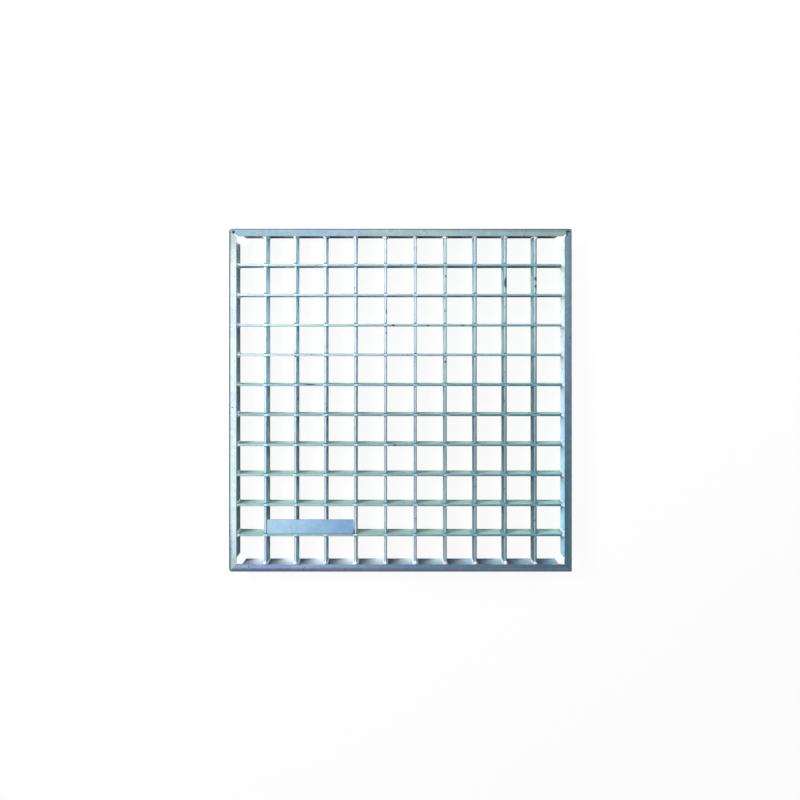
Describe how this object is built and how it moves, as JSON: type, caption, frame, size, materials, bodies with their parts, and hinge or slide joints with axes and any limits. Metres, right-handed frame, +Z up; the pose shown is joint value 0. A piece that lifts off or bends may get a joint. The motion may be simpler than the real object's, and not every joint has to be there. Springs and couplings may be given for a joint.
{
  "type": "steel grating panel",
  "caption": "Square galvanised steel grating panel: thin flat bars locked into a square open mesh inside a raised mitred rim, with a small blank tag plate.",
  "frame": {"origin": "centre of the panel's outline, on the plane that it lies on", "axes": "+Z up through the walking face, +X along the cross bars, +Y along the bearing bars, away from the tag plate"},
  "size_m": [0.38, 0.38, 0.023],
  "materials": {
    "bars": "hot-dip galvanised",
    "rim": "hot-dip galvanised",
    "tag": "hot-dip galvanised"
  },
  "bodies": {
    "root": {"bar_grid": "bars", "rim_left": "rim", "rim_right": "rim", "rim_back": "rim", "rim_front": "rim", "tag_plate": "tag"}
  },
  "joints": []
}
